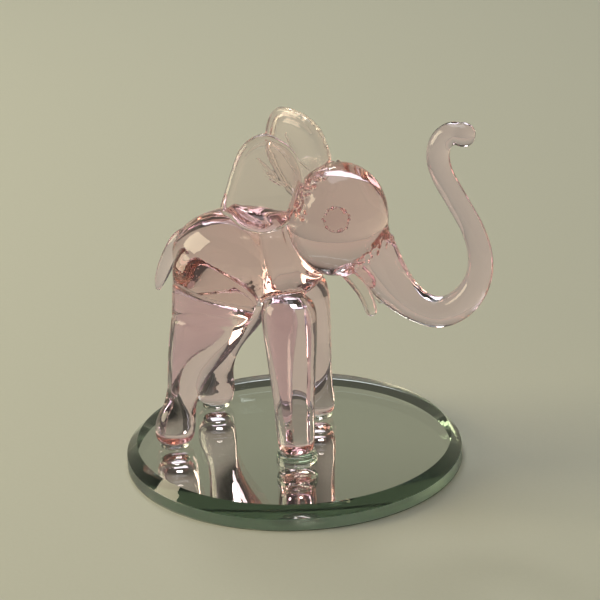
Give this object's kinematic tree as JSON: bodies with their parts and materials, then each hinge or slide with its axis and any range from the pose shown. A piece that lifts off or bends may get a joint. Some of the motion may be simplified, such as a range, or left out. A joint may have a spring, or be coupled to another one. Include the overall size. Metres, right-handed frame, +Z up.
{
  "type": "animal figurine",
  "caption": "Lampworked pink glass elephant with a raised S-curved trunk, standing on a round bevelled mirror base.",
  "frame": {"origin": "centre of the mirror base's underside, on the surface that it stands on", "axes": "+Z up; +X the way the elephant faces, which is also the longest side; the elephant's right side is towards -Y"},
  "size_m": [0.0845, 0.076, 0.0814],
  "materials": {
    "pink_glass": "polished",
    "thin_pink_glass": "polished",
    "clear_glass": "polished",
    "clear_glue": "gloss",
    "float_glass": "polished",
    "silvering": "mirror",
    "backing_paint": "matte"
  },
  "bodies": {
    "root": {"mirror_glass": "float_glass", "mirror_silvering": "silvering", "mirror_backing_paint": "backing_paint", "torso": "pink_glass", "head": "pink_glass", "trunk": "pink_glass", "ear_right": "thin_pink_glass", "ear_left": "thin_pink_glass", "tusk_right": "clear_glass", "tusk_left": "clear_glass", "eye_right": "clear_glass", "eye_left": "clear_glass", "tail": "clear_glass", "leg_front_right": "pink_glass", "leg_front_left": "pink_glass", "leg_hind_right": "pink_glass", "leg_hind_left": "pink_glass", "glue_pad_front_right": "clear_glue", "glue_pad_front_left": "clear_glue", "glue_pad_hind_right": "clear_glue", "glue_pad_hind_left": "clear_glue"}
  },
  "joints": []
}
